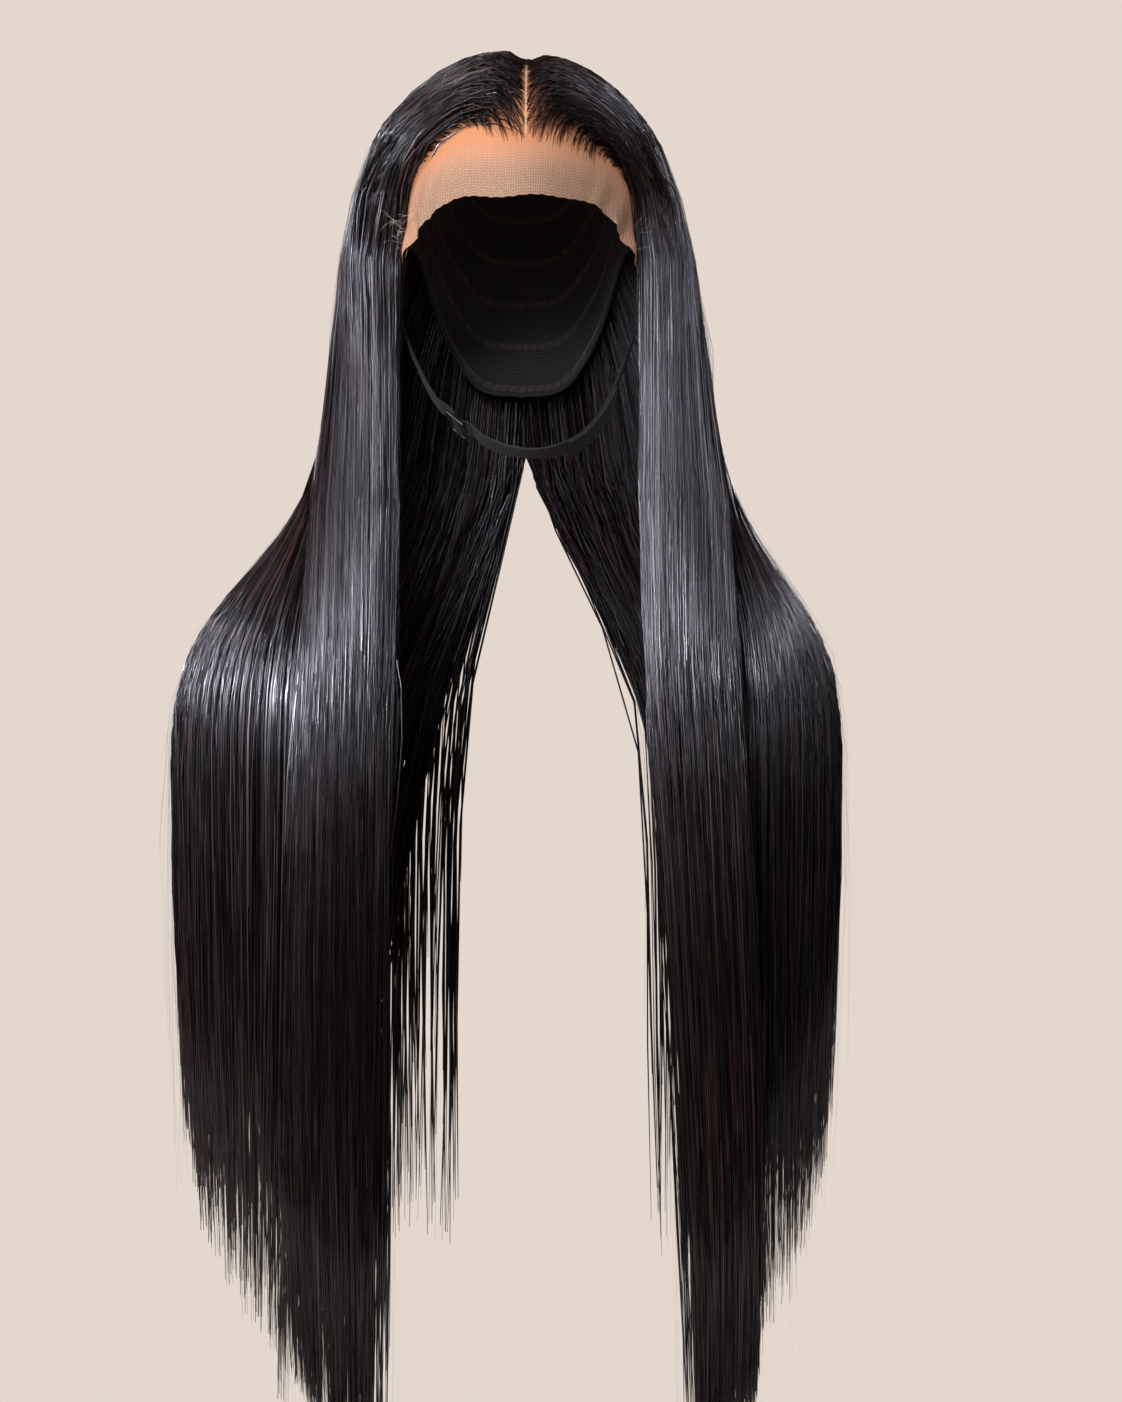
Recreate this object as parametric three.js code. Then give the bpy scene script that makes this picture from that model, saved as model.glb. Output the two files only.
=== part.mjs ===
// Long straight wig with a centre part and a lace front, in its worn form.
// Millimetres, +Z up. The face opening looks along -Y and the origin is the inside top of the cap.
import * as THREE from "three";

const headCentre = new THREE.Vector3(0, 4, -95);
const headRadii = new THREE.Vector3(75, 94, 95);
const napeTaper = 0.35;
const crownTilt = 16; // degrees the crown point lies behind the top of the head

const capThick = 1.5;
const laceThick = 1;
const sewnGap = 0.4;
const rootGap = 0.9; // between the cap and the flat faces of the hair over it
const partX = 4;
const partHalf = 1.4;
const rootThick = 2.6;
const ridgeHeight = 1.7;
const edgeShare = 0.55; // thickness left at the edge of a panel
const tipThick = 1.6;
const notchDepth = 78; // how far the gaps between locks run up from their tips

const bandWidth = 14;
const bandThick = 1.3;
const bandGap = 0.35;
const sliderAt = 0.383;
const sliderSize = { across: 19.4, along: 15, thick: 1.6, bar: 2.1 };
const bandHump = 2.1;
const foldFrom = 0.568;
const foldTo = 0.7;
const foldWidth = 15.5;

const hairColour = 0x17151a;
const laceColour = 0xd9a683;
const capColour = 0x1a1715;
const bandColour = 0x141317;

const rad = THREE.MathUtils.degToRad;
const lerp = THREE.MathUtils.lerp;
const ease = THREE.MathUtils.smoothstep;

// Where the free edge of the lace and the rim of the cap lie, by azimuth from the front.
const laceRim = [
  { azimuth: 0, z: -88 },
  { azimuth: 24, z: -88 },
  { azimuth: 40, z: -95 },
  { azimuth: 52, z: -110 },
  { azimuth: 62, z: -121 },
  { azimuth: 72, z: -121 },
  { azimuth: 91, z: -124 },
];
const capRim = [
  { azimuth: 92, z: -126 },
  { azimuth: 101, z: -124 },
  { azimuth: 110, z: -106 },
  { azimuth: 124, z: -106 },
  { azimuth: 138, z: -150 },
  { azimuth: 155, z: -181 },
  { azimuth: 180, z: -187 },
];

// Level sections of each curtain of hair, for one side: three points in plan and the thickness.
const laceHairRows = [
  { z: -120, inX: 69, inY: -41, midX: 89, midY: -25, outX: 99, outY: 5, thick: 14 },
  { z: -150, inX: 69, inY: -47, midX: 93, midY: -33, outX: 104, outY: 0, thick: 12 },
  { z: -200, inX: 69, inY: -53, midX: 95, midY: -44, outX: 109, outY: -16, thick: 12 },
  { z: -245, inX: 69, inY: -60, midX: 97, midY: -56, outX: 115, outY: -36, thick: 12 },
  { z: -300, inX: 69.5, inY: -72, midX: 97, midY: -73, outX: 118, outY: -61, thick: 11 },
  { z: -360, inX: 71, inY: -86, midX: 99, midY: -90, outX: 122, outY: -83, thick: 11 },
  { z: -440, inX: 73, inY: -92, midX: 101, midY: -97, outX: 127, outY: -90, thick: 11 },
  { z: -580, inX: 73, inY: -90, midX: 102, midY: -95, outX: 130, outY: -89, thick: 10 },
  { z: -700, inX: 73.5, inY: -86, midX: 101, midY: -91, outX: 128, outY: -86, thick: 8 },
  { z: -800, inX: 75, inY: -82, midX: 99, midY: -86, outX: 120, outY: -82, thick: 6 },
];
const shoulderHairRows = [
  { z: -150, inX: 101, inY: 12, midX: 102, midY: 42, outX: 86, outY: 74, thick: 12 },
  { z: -200, inX: 104, inY: -2, midX: 107, midY: 34, outX: 90, outY: 70, thick: 12 },
  { z: -245, inX: 106, inY: -16, midX: 117, midY: 20, outX: 98, outY: 64, thick: 12 },
  { z: -282, inX: 107, inY: -32, midX: 139, midY: 6, outX: 114, outY: 58, thick: 12 },
  { z: -312, inX: 106, inY: -46, midX: 164, midY: -2, outX: 134, outY: 56, thick: 12 },
  { z: -341, inX: 104, inY: -60, midX: 182, midY: -7, outX: 148, outY: 56, thick: 12 },
  { z: -375, inX: 103, inY: -70, midX: 191, midY: -11, outX: 157, outY: 57, thick: 12 },
  { z: -440, inX: 104, inY: -76, midX: 192, midY: -14, outX: 162, outY: 58, thick: 12 },
  { z: -560, inX: 108, inY: -75, midX: 189, midY: -16, outX: 162, outY: 56, thick: 10 },
  { z: -720, inX: 114, inY: -72, midX: 182, midY: -18, outX: 158, outY: 52, thick: 7 },
];
const backHairRows = [
  { z: -150, inX: 83, inY: 78, midX: 54, midY: 102, outX: 2, outY: 110, thick: 13 },
  { z: -210, inX: 88, inY: 75, midX: 56, midY: 100, outX: 4, outY: 108, thick: 12 },
  { z: -260, inX: 102, inY: 68, midX: 65, midY: 96, outX: 13, outY: 104, thick: 12 },
  { z: -320, inX: 138, inY: 64, midX: 92, midY: 94, outX: 30, outY: 101, thick: 11 },
  { z: -390, inX: 158, inY: 64, midX: 106, midY: 93, outX: 43, outY: 99, thick: 11 },
  { z: -560, inX: 158, inY: 62, midX: 108, midY: 91, outX: 46, outY: 97, thick: 9 },
  { z: -720, inX: 150, inY: 58, midX: 104, midY: 87, outX: 48, outY: 92, thick: 6 },
];

// Each curtain: its roots along the part, its span at ear level, its locks and where its tips end.
const curtains = [
  {
    name: "lace_hair", rows: laceHairRows, locks: 8, rootFrom: -80, rootTo: 20,
    azimuthFrom: 66, azimuthTo: 92, tipIn: -782, tipMid: -778, tipOut: -752, arch: 0.3,
  },
  {
    name: "shoulder_hair", rows: shoulderHairRows, locks: 8, rootFrom: 23, rootTo: 40,
    azimuthFrom: 94, azimuthTo: 140, tipIn: -738, tipMid: -662, tipOut: -668, arch: 0,
  },
  {
    name: "back_hair", rows: backHairRows, locks: 6, rootFrom: 43, rootTo: 58,
    azimuthFrom: 142, azimuthTo: 178.6, tipIn: -655, tipMid: -676, tipOut: -690, arch: 0,
  },
];
// growX, growY and growZ are how far the hair stands beyond the head on that side.
const sides = [
  { name: "left", sign: -1, growX: 23, growY: 16, growZ: 13, flare: 1.02, drift: 0, backGap: 1 },
  { name: "right", sign: 1, growX: 18, growY: 16, growZ: 11, flare: 0.82, drift: 20, backGap: 1.72 },
];
const flareFrom = 118;
const driftFrom = -280;
const driftTo = -780;

const domeSteps = 7;
const fallShares = [0.06, 0.13, 0.2, 0.27, 0.34, 0.42, 0.54, 0.69, 0.84, 0.95, 1];

// The chin band from ear tab to ear tab: its middle line and how far its width leans from level.
const bandPath = [
  { x: -73, y: 7, z: -100, lean: 0 },
  { x: -72.8, y: 4, z: -118, lean: 0 },
  { x: -70, y: -10, z: -147, lean: 4 },
  { x: -62.5, y: -31, z: -172, lean: 10 },
  { x: -47, y: -52, z: -202, lean: 22 },
  { x: -28, y: -66, z: -220, lean: 30 },
  { x: -5, y: -73, z: -230.5, lean: 32 },
  { x: 12, y: -74, z: -232, lean: 32 },
  { x: 32, y: -68, z: -226, lean: 34 },
  { x: 47, y: -56, z: -211, lean: 30 },
  { x: 62, y: -32, z: -176, lean: 12 },
  { x: 70, y: -10, z: -147, lean: 4 },
  { x: 72.8, y: 4, z: -118, lean: 0 },
  { x: 73, y: 7, z: -100, lean: 0 },
];

// A point of the head along a direction, grown outwards. Below ear level the head runs down to the nape.
function onHead(way, growX, growY, growZ) {
  const flat = Math.hypot(way.x, way.y);
  const sink = way.z < 0 ? Math.asin(-way.z) : 0;
  const ring = way.z < 0 ? (1 - napeTaper * (sink / (Math.PI / 2)) ** 2) / flat : 1;
  return new THREE.Vector3(
    headCentre.x + (headRadii.x + growX) * way.x * ring,
    headCentre.y + (headRadii.y + growY) * way.y * ring,
    headCentre.z + (way.z < 0 ? -headRadii.z * sink : (headRadii.z + growZ) * way.z),
  );
}

function wayAt(azimuth, z) {
  const below = (headCentre.z - z) / headRadii.z;
  const lift = below > 0 ? -below : Math.asin(-below);
  const level = Math.cos(lift);
  return new THREE.Vector3(level * Math.sin(rad(azimuth)), -level * Math.cos(rad(azimuth)), Math.sin(lift));
}

function rootWay(x, y) {
  const wayX = (x - headCentre.x) / headRadii.x;
  const wayY = (y - headCentre.y) / headRadii.y;
  return new THREE.Vector3(wayX, wayY, Math.sqrt(1 - wayX * wayX - wayY * wayY));
}

function along(from, to, share) {
  const angle = from.angleTo(to);
  const a = Math.sin((1 - share) * angle) / Math.sin(angle);
  const b = Math.sin(share * angle) / Math.sin(angle);
  return from.clone().multiplyScalar(a).addScaledVector(to, b).normalize();
}

// Smooth value of one column of a table at a key between its rows.
function read(rows, key, column, at) {
  const turn = Math.sign(rows[1][key] - rows[0][key]);
  let i = 0;
  while (i < rows.length - 2 && (rows[i + 1][key] - at) * turn < 0) i += 1;
  const slope = (j) => {
    const a = rows[Math.max(j - 1, 0)];
    const b = rows[Math.min(j + 1, rows.length - 1)];
    return (b[column] - a[column]) / (b[key] - a[key]);
  };
  const span = rows[i + 1][key] - rows[i][key];
  const t = THREE.MathUtils.clamp((at - rows[i][key]) / span, 0, 1);
  const h = t * t * (3 - 2 * t);
  const start = (t * t * t - 2 * t * t + t) * span * slope(i);
  const end = (t * t * t - t * t) * span * slope(i + 1);
  return rows[i][column] * (1 - h) + rows[i + 1][column] * h + start + end;
}

// A closed wall between two grids of points, outer[column][row] and inner[column][row].
function wallBetween(outer, inner) {
  const columns = outer.length;
  const rows = outer[0].length;
  const points = [];
  [outer, inner].forEach((grid) => grid.forEach((line) => line.forEach((p) => points.push(p.x, p.y, p.z))));
  const id = (face, c, r) => (face * columns + c) * rows + r;
  const index = [];
  const quad = (a, b, c, d) => index.push(a, b, c, a, c, d);
  for (let c = 0; c < columns - 1; c += 1) {
    for (let r = 0; r < rows - 1; r += 1) {
      quad(id(0, c, r), id(0, c + 1, r), id(0, c + 1, r + 1), id(0, c, r + 1));
      quad(id(1, c, r), id(1, c, r + 1), id(1, c + 1, r + 1), id(1, c + 1, r));
    }
    quad(id(0, c, 0), id(1, c, 0), id(1, c + 1, 0), id(0, c + 1, 0));
    quad(id(0, c, rows - 1), id(0, c + 1, rows - 1), id(1, c + 1, rows - 1), id(1, c, rows - 1));
  }
  for (let r = 0; r < rows - 1; r += 1) {
    quad(id(0, 0, r), id(0, 0, r + 1), id(1, 0, r + 1), id(1, 0, r));
    quad(id(0, columns - 1, r), id(1, columns - 1, r), id(1, columns - 1, r + 1), id(0, columns - 1, r + 1));
  }
  const geometry = new THREE.BufferGeometry();
  geometry.setAttribute("position", new THREE.Float32BufferAttribute(points, 3));
  geometry.setIndex(facingOut(points, index));
  geometry.computeVertexNormals();
  return geometry;
}

function facingOut(points, index) {
  const corner = (i) => new THREE.Vector3().fromArray(points, index[i] * 3);
  let volume = 0;
  for (let i = 0; i < index.length; i += 3) {
    volume += corner(i).dot(corner(i + 1).cross(corner(i + 2)));
  }
  return volume < 0 ? index.slice().reverse() : index;
}

// A sheet over the head from the crown to its rim, one column for each azimuth.
function headSheet(azimuths, steps, pole, rimZ, thick, lift) {
  const grid = (grow) =>
    azimuths.map((azimuth) => {
      const rim = wayAt(azimuth, rimZ(azimuth));
      return Array.from({ length: steps + 1 }, (_, r) => {
        const share = lerp(0.012, 1, r / steps);
        const way = along(pole, rim, share);
        const more = grow + lift(azimuth, share);
        return onHead(way, more, more, more);
      });
    });
  return wallBetween(grid(thick), grid(0));
}

function crownPole(degrees) {
  return new THREE.Vector3(0, Math.sin(rad(degrees)), Math.cos(rad(degrees)));
}

function steps(from, to, count) {
  return Array.from({ length: count + 1 }, (_, i) => lerp(from, to, i / count));
}

function makeLace() {
  const rimZ = (azimuth) => read(laceRim, "azimuth", "z", Math.abs(azimuth)) + 1.1 * Math.sin(azimuth * 0.62);
  const loose = (azimuth) => 1 - ease(Math.abs(azimuth), 50, 60);
  const lift = (azimuth, share) => {
    const nearEdge = ease(share, 0.78, 1);
    const ripple = 1.3 + 1.3 * Math.sin(azimuth * 0.33 + 0.8);
    return nearEdge * loose(azimuth) * ripple;
  };
  return headSheet(steps(-91.5, 91.5, 36), 10, crownPole(crownTilt), rimZ, laceThick, lift);
}

function makeCap() {
  const mirrored = (azimuth) => (azimuth > 180 ? 360 - azimuth : azimuth);
  const rimZ = (azimuth) => read(capRim, "azimuth", "z", mirrored(azimuth));
  return headSheet(steps(91.9, 268.1, 32), 9, crownPole(crownTilt + sewnGap), rimZ, capThick, () => 0);
}

// Plan point of a curtain at one level, on its outer face (face 1) or its inner face (face 0).
function levelPoint(curtain, side, u, row, face, ridge) {
  const slide = side.drift * ease(-row.z, -driftFrom, -driftTo);
  const isLace = curtain.name === "lace_hair";
  const isBack = curtain.name === "back_hair";
  const spread = (x) => (x > flareFrom ? flareFrom + (x - flareFrom) * side.flare : x);
  const inX = spread(row.inX) + (isLace ? slide : 0);
  const midX = spread(row.midX) + (isLace ? slide * 0.75 : 0);
  const outX = isBack ? row.outX * side.backGap : spread(row.outX) + (isLace ? slide * 0.5 : 0);
  const bend = (a, m, b) => [2 * (a + b - 2 * m), 4 * m - 3 * a - b, a];
  const [ax, bx, cx] = bend(inX, midX, outX);
  const [ay, by, cy] = bend(row.inY, row.midY, row.outY);
  const normal = new THREE.Vector2(-(2 * ay * u + by), 2 * ax * u + bx).normalize().negate();
  const edge = edgeShare + (1 - edgeShare) * Math.sqrt(Math.sin(Math.PI * THREE.MathUtils.clamp(u, 0, 1)));
  const reach = (row.thick / 2) * edge * (face ? 1 : -1) + (face ? ridge : 0);
  return {
    z: row.z,
    x: side.sign * (ax * u * u + bx * u + cx + normal.x * reach),
    y: ay * u * u + by * u + cy + normal.y * reach,
  };
}

function domePoint(curtain, side, u, share, face, ridge) {
  const root = rootWay(partX + side.sign * partHalf, lerp(curtain.rootFrom, curtain.rootTo, u));
  const azimuth = lerp(curtain.azimuthFrom, curtain.azimuthTo, u);
  const ear = new THREE.Vector3(side.sign * Math.sin(rad(azimuth)), -Math.cos(rad(azimuth)), 0);
  const way = along(root, ear, share);
  way.z += curtain.arch * (1 - u) ** 2 * Math.sin(Math.PI * share) * (1 - 0.4 * share);
  way.normalize();
  const base = capThick + rootGap;
  if (!face) return onHead(way, base, base, base);
  const body = ease(share, -0.05, 0.24) * (curtain.arch ? lerp(0.22, 1, ease(u, -0.05, 0.42)) : 1);
  const grow = (most) => lerp(base + rootThick, most, body) + ridge * 0.6 * share;
  return onHead(way, grow(side.growX), grow(side.growY), grow(side.growZ));
}

function makeCurtain(curtain, side) {
  const columns = curtain.locks * 2;
  const grid = (face) =>
    Array.from({ length: columns + 1 }, (_, c) => {
      const u = (c + (c > 0 && c < columns ? 0.28 * Math.sin(c * 2.3) : 0)) / columns;
      const crest = c % 2 === 1;
      const ridge = crest ? ridgeHeight : 0;
      const line = [];
      for (let r = 0; r <= domeSteps; r += 1) {
        line.push(domePoint(curtain, side, u, r / domeSteps, face, ridge));
      }
      const start = line[domeSteps];
      const rows = [start, ...curtain.rows.map((row) => levelPoint(curtain, side, u, row, face, ridge))];
      const tips = [{ u: 0, z: curtain.tipIn }, { u: 0.5, z: curtain.tipMid }, { u: 1, z: curtain.tipOut }];
      const uneven = 9 * Math.sin(c * 1.7 + side.sign);
      const tip = read(tips, "u", "z", u) + (crest ? uneven : notchDepth + 2 * uneven);
      const middle = curtain.rows.map((row) => ({
        z: row.z,
        x: (levelPoint(curtain, side, u, row, 0, 0).x + levelPoint(curtain, side, u, row, 1, 0).x) / 2,
        y: (levelPoint(curtain, side, u, row, 0, 0).y + levelPoint(curtain, side, u, row, 1, 0).y) / 2,
      }));
      fallShares.forEach((share) => {
        const z = lerp(start.z, tip, share);
        const at = new THREE.Vector3(read(rows, "z", "x", z), read(rows, "z", "y", z), z);
        const thin = ease(share, 0.62, 1);
        const heart = new THREE.Vector3(read(middle, "z", "x", z), read(middle, "z", "y", z), z);
        const reach = at.distanceTo(heart);
        line.push(heart.lerp(at, lerp(1, Math.min(1, tipThick / 2 / reach), thin)));
      });
      return line;
    });
  return wallBetween(grid(1), grid(0));
}

// The chin band's frame at a share of its length: middle, run, width and outward directions.
const bandCurve = new THREE.CatmullRomCurve3(bandPath.map((p) => new THREE.Vector3(p.x, p.y, p.z)));
const bandLength = bandCurve.getLength();

function bandFrame(share) {
  const t = bandCurve.getUtoTmapping(share);
  const middle = bandCurve.getPoint(t);
  const run = bandCurve.getTangent(t);
  const i = Math.min(Math.floor(t * (bandPath.length - 1)), bandPath.length - 2);
  const lean = rad(lerp(bandPath[i].lean, bandPath[i + 1].lean, t * (bandPath.length - 1) - i));
  const width = new THREE.Vector3(0, Math.cos(lean), -Math.sin(lean));
  width.addScaledVector(run, -width.dot(run)).normalize();
  const out = new THREE.Vector3().crossVectors(width, run).normalize();
  return { middle, run, width, out };
}

// The band dips under the slider's end bars and rises over its middle bar.
function bandWeave(share) {
  const s = Math.abs((share - sliderAt) * bandLength);
  const pitch = 6.7;
  if (s < pitch) return bandHump * Math.cos((Math.PI * s) / pitch);
  return -bandHump * (1 - ease(s, 8.5, 20));
}

function makeStrip(shares, wide, thick, offset) {
  const grid = (level) =>
    shares.map((share) => {
      const { middle, width, out } = bandFrame(share);
      return [-0.5, 0.5].map((k) =>
        middle.clone().addScaledVector(width, k * wide).addScaledVector(out, offset(share) + level),
      );
    });
  return wallBetween(grid(thick / 2), grid(-thick / 2));
}

function makeBand() {
  const near = 22 / bandLength;
  const shares = [
    ...steps(0, sliderAt - near, 16),
    ...steps(sliderAt - near, sliderAt + near, 40).slice(1, -1),
    ...steps(sliderAt + near, 1, 30),
  ];
  return makeStrip(shares, bandWidth, bandThick, bandWeave);
}

function makeFold() {
  return makeStrip(steps(foldFrom, foldTo, 12), foldWidth, bandThick, () => bandThick + bandGap);
}

function makeSlider() {
  const { across, along: length, thick, bar } = sliderSize;
  const corner = 2;
  const plate = new THREE.Shape();
  const x = across / 2;
  const y = length / 2;
  plate.moveTo(-x + corner, -y);
  plate.lineTo(x - corner, -y);
  plate.quadraticCurveTo(x, -y, x, -y + corner);
  plate.lineTo(x, y - corner);
  plate.quadraticCurveTo(x, y, x - corner, y);
  plate.lineTo(-x + corner, y);
  plate.quadraticCurveTo(-x, y, -x, y - corner);
  plate.lineTo(-x, -y + corner);
  plate.quadraticCurveTo(-x, -y, -x + corner, -y);
  [-1, 1].forEach((end) => {
    const from = end > 0 ? bar / 2 : -y + bar;
    const to = end > 0 ? y - bar : -bar / 2;
    const slot = new THREE.Path();
    slot.moveTo(-x + bar, from);
    slot.lineTo(-x + bar, to);
    slot.lineTo(x - bar, to);
    slot.lineTo(x - bar, from);
    slot.closePath();
    plate.holes.push(slot);
  });
  const geometry = new THREE.ExtrudeGeometry(plate, { depth: thick, bevelEnabled: false, curveSegments: 4 });
  geometry.translate(0, 0, -thick / 2);
  const { middle, run, width, out } = bandFrame(sliderAt);
  geometry.applyMatrix4(new THREE.Matrix4().makeBasis(width, run, out).setPosition(middle));
  return geometry;
}

const group = new THREE.Group();
group.name = "lace_closure_wig";

function add(name, geometry, color, roughness) {
  const mesh = new THREE.Mesh(geometry, new THREE.MeshStandardMaterial({ color, roughness, metalness: 0 }));
  mesh.name = name;
  group.add(mesh);
}

add("lace_front", makeLace(), laceColour, 0.8);
add("wig_cap", makeCap(), capColour, 0.9);
sides.forEach((side) => {
  curtains.forEach((curtain) => {
    add(`${curtain.name}_${side.name}`, makeCurtain(curtain, side), hairColour, 0.4);
  });
});
add("elastic_band", makeBand(), bandColour, 0.85);
add("band_slider", makeSlider(), bandColour, 0.45);
add("band_fold", makeFold(), bandColour, 0.85);

export default group;
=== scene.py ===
import math

import bpy
import numpy as np
from mathutils import Matrix, Vector


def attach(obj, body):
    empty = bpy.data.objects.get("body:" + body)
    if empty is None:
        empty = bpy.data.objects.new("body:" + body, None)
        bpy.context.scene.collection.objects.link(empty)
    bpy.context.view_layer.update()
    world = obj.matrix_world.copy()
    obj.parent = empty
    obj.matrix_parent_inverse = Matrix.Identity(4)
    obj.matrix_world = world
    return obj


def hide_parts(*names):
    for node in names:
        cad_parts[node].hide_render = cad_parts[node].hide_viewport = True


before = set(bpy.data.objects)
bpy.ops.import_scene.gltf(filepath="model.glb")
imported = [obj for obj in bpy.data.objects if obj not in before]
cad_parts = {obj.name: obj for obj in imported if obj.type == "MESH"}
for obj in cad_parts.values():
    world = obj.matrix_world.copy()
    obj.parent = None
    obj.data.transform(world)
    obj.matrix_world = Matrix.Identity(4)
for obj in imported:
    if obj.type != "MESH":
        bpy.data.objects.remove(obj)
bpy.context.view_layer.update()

# Metres, +Z up, the face opening looks along -Y, the origin is the inside top of the cap.

head = {
    "centre": (0.0, 0.004, -0.095),
    "radii": (0.075, 0.094, 0.095),
    "napeTaper": 0.35,
    "crownTilt": 16.0,  # degrees behind the top
    "poleGap": 0.012,  # share of the way down at which lace and cap start
    "girth": 0.085,  # mean radius, for the map of the net
}
part = {"x": 0.004, "half": 0.0007}  # where the hair is parted, and half the width of the line
seat = {"cap": 0.0015, "lace": 0.001, "rootGap": 0.0009, "rootThick": 0.0026}  # walls, then hair over them


def smooth(value, low, high):
    t = np.clip((np.asarray(value, float) - low) / (high - low), 0, 1)
    return t * t * (3 - 2 * t)


def mixed(a, b, t):
    return a + (b - a) * t


def tableOf(columns, *rows):
    return [dict(zip(columns.split(), row)) for row in rows]


def hermite(keys, values, at, *pick):
    # smooth curve through values[row] at keys[row], read at every number in at; pick chooses within a row
    order = np.argsort(keys)
    keys, values = np.asarray(keys, float)[order], np.asarray(values, float)[order]
    low = np.maximum(np.arange(len(keys)) - 1, 0)
    high = np.minimum(np.arange(len(keys)) + 1, len(keys) - 1)
    gap = (keys[high] - keys[low]).reshape((-1,) + (1,) * (values.ndim - 1))
    slope = (values[high] - values[low]) / gap
    i = np.clip(np.searchsorted(keys, at) - 1, 0, len(keys) - 2)
    span = (keys[i + 1] - keys[i])[..., None]
    t = np.clip((at - keys[i])[..., None] / span, 0, 1)
    h = smooth(t, 0, 1)
    start = (t**3 - 2 * t**2 + t) * span * slope[(i, *pick)]
    end = (t**3 - t**2) * span * slope[(i + 1, *pick)]
    return values[(i, *pick)] * (1 - h) + values[(i + 1, *pick)] * h + start + end


def curveAt(keys, values, at):
    return hermite(keys, np.array(values)[:, None], at)[..., 0]


def unit(v):
    return v / np.maximum(np.linalg.norm(v, axis=-1, keepdims=True), 1e-12)


def slerp(a, b, share):
    angle = np.arccos(np.clip((a * b).sum(-1, keepdims=True), -1, 1))
    share = np.asarray(share)[..., None]
    return unit((np.sin((1 - share) * angle) * a + np.sin(share * angle) * b) / np.sin(angle))


def onHead(way, grow):
    # point of the head along a direction; below ear level it runs down to the nape
    grow = np.broadcast_to(np.asarray(grow, float), way.shape)
    reach = np.array(head["radii"]) + grow
    flat = np.maximum(np.hypot(way[..., 0], way[..., 1]), 1e-9)
    sink = np.arcsin(np.clip(-way[..., 2], 0, 1))
    ring = np.where(way[..., 2] < 0, (1 - head["napeTaper"] * (sink / (math.pi / 2)) ** 2) / flat, 1)
    z = np.where(way[..., 2] < 0, -head["radii"][2] * sink, reach[..., 2] * way[..., 2])
    xy = reach[..., :2] * way[..., :2] * ring[..., None]
    return np.concatenate([xy, z[..., None]], -1) + np.array(head["centre"])


def wayAt(azimuth, z):
    below = (head["centre"][2] - z) / head["radii"][2]
    lift = np.where(below > 0, -below, np.arcsin(np.clip(-below, -1, 1)))
    a = np.radians(azimuth)
    return np.stack([np.cos(lift) * np.sin(a), -np.cos(lift) * np.cos(a), np.sin(lift)], -1)


def deselectAll():
    if bpy.context.object and bpy.context.object.mode != "OBJECT":
        bpy.ops.object.mode_set(mode="OBJECT")
    bpy.ops.object.select_all(action="DESELECT")


def dress(piece, material, node=None):
    piece.data.materials.clear()
    piece.data.materials.append(material)
    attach(piece, "root")
    if node:
        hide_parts(node)


# Camera: level with the shoulders, straight in front, with the photograph's framing.
cameraView = {"place": (0.024, -2.2, -0.371), "lens": 96.6, "sensor": 36.0, "far": 50}
deselectAll()
bpy.ops.object.camera_add(location=cameraView["place"], rotation=(math.pi / 2, 0, 0))
camera = bpy.context.object
camera.data.lens = cameraView["lens"]
camera.data.sensor_width = cameraView["sensor"]
camera.data.clip_end = cameraView["far"]
bpy.context.scene.camera = camera
print("camera placed")


# Materials

waveScale = 0.314  # a wave texture's scale times the spacing of its bands


def linearColour(code):
    parts = [int(code[i : i + 2], 16) / 255 for i in (1, 3, 5)]
    return [c / 12.92 if c <= 0.04045 else ((c + 0.055) / 1.055) ** 2.4 for c in parts] + [1.0]


def setInputs(node, inputs):
    # sets or links inputs by name; a node given as a value stands for its first output in use
    for name, value in inputs.items():
        if isinstance(value, bpy.types.Node):
            value = next(output for output in value.outputs if output.enabled)
        if isinstance(value, bpy.types.NodeSocket):
            node.id_data.links.new(value, node.inputs[name])
        else:
            node.inputs[name].default_value = value


def addNode(tree, kind, inputs=None, **settings):
    node = tree.nodes.new("ShaderNode" + kind)
    for name, value in settings.items():
        setattr(node, name, value)
    setInputs(node, inputs or {})
    return node


def startMaterial(name):
    material = bpy.data.materials.new(name)
    material.use_nodes = True
    tree = material.node_tree
    return material, tree, tree.nodes["Principled BSDF"]


def fillRamp(node, stops):
    ramp = node.color_ramp
    while len(ramp.elements) < len(stops):
        ramp.elements.new(1.0)
    for element, (place, code) in zip(ramp.elements, stops):
        element.position = place
        element.color = linearColour(code)


def hairMaterial():
    # Human hair, dyed jet black and combed straight: a cool sheen on top, a warm brown where light gets in
    material, tree, shader = startMaterial("dyedHumanHair")
    strandMap = addNode(tree, "UVMap", uv_map="strand")
    strand = addNode(tree, "SeparateXYZ", {"Vector": strandMap})
    own, along = strand.outputs["X"], strand.outputs["Y"]  # a strand's own tone, and the share of its length
    tone = addNode(tree, "ValToRGB", {"Fac": own})
    fillRamp(tone, [(0, "#0c0909"), (0.5, "#140e0d"), (0.82, "#24140f"), (1, "#4c261c")])
    towardTip = addNode(tree, "MapRange", {"Value": along, "From Min": 0.55, "To Max": 0.45})
    colour = addNode(
        tree, "Mix", {"Factor": towardTip, "A": tone, "B": linearColour("#0f0a08")}, data_type="RGBA"
    )
    rough = addNode(tree, "MapRange", {"Value": own, "To Min": 0.16, "To Max": 0.34})
    rootGloss = addNode(  # combed flat at the crown, so less of a mirror there than on the long fall
        tree, "MapRange", {"Value": along, "From Min": 0.02, "From Max": 0.38, "To Min": 0.12, "To Max": 0.95}
    )
    setInputs(shader, {"Base Color": colour, "Roughness": rough, "IOR": 1.55})
    setInputs(shader, {"Specular IOR Level": rootGloss, "Specular Tint": linearColour("#f6f4ff")})
    return material


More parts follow.
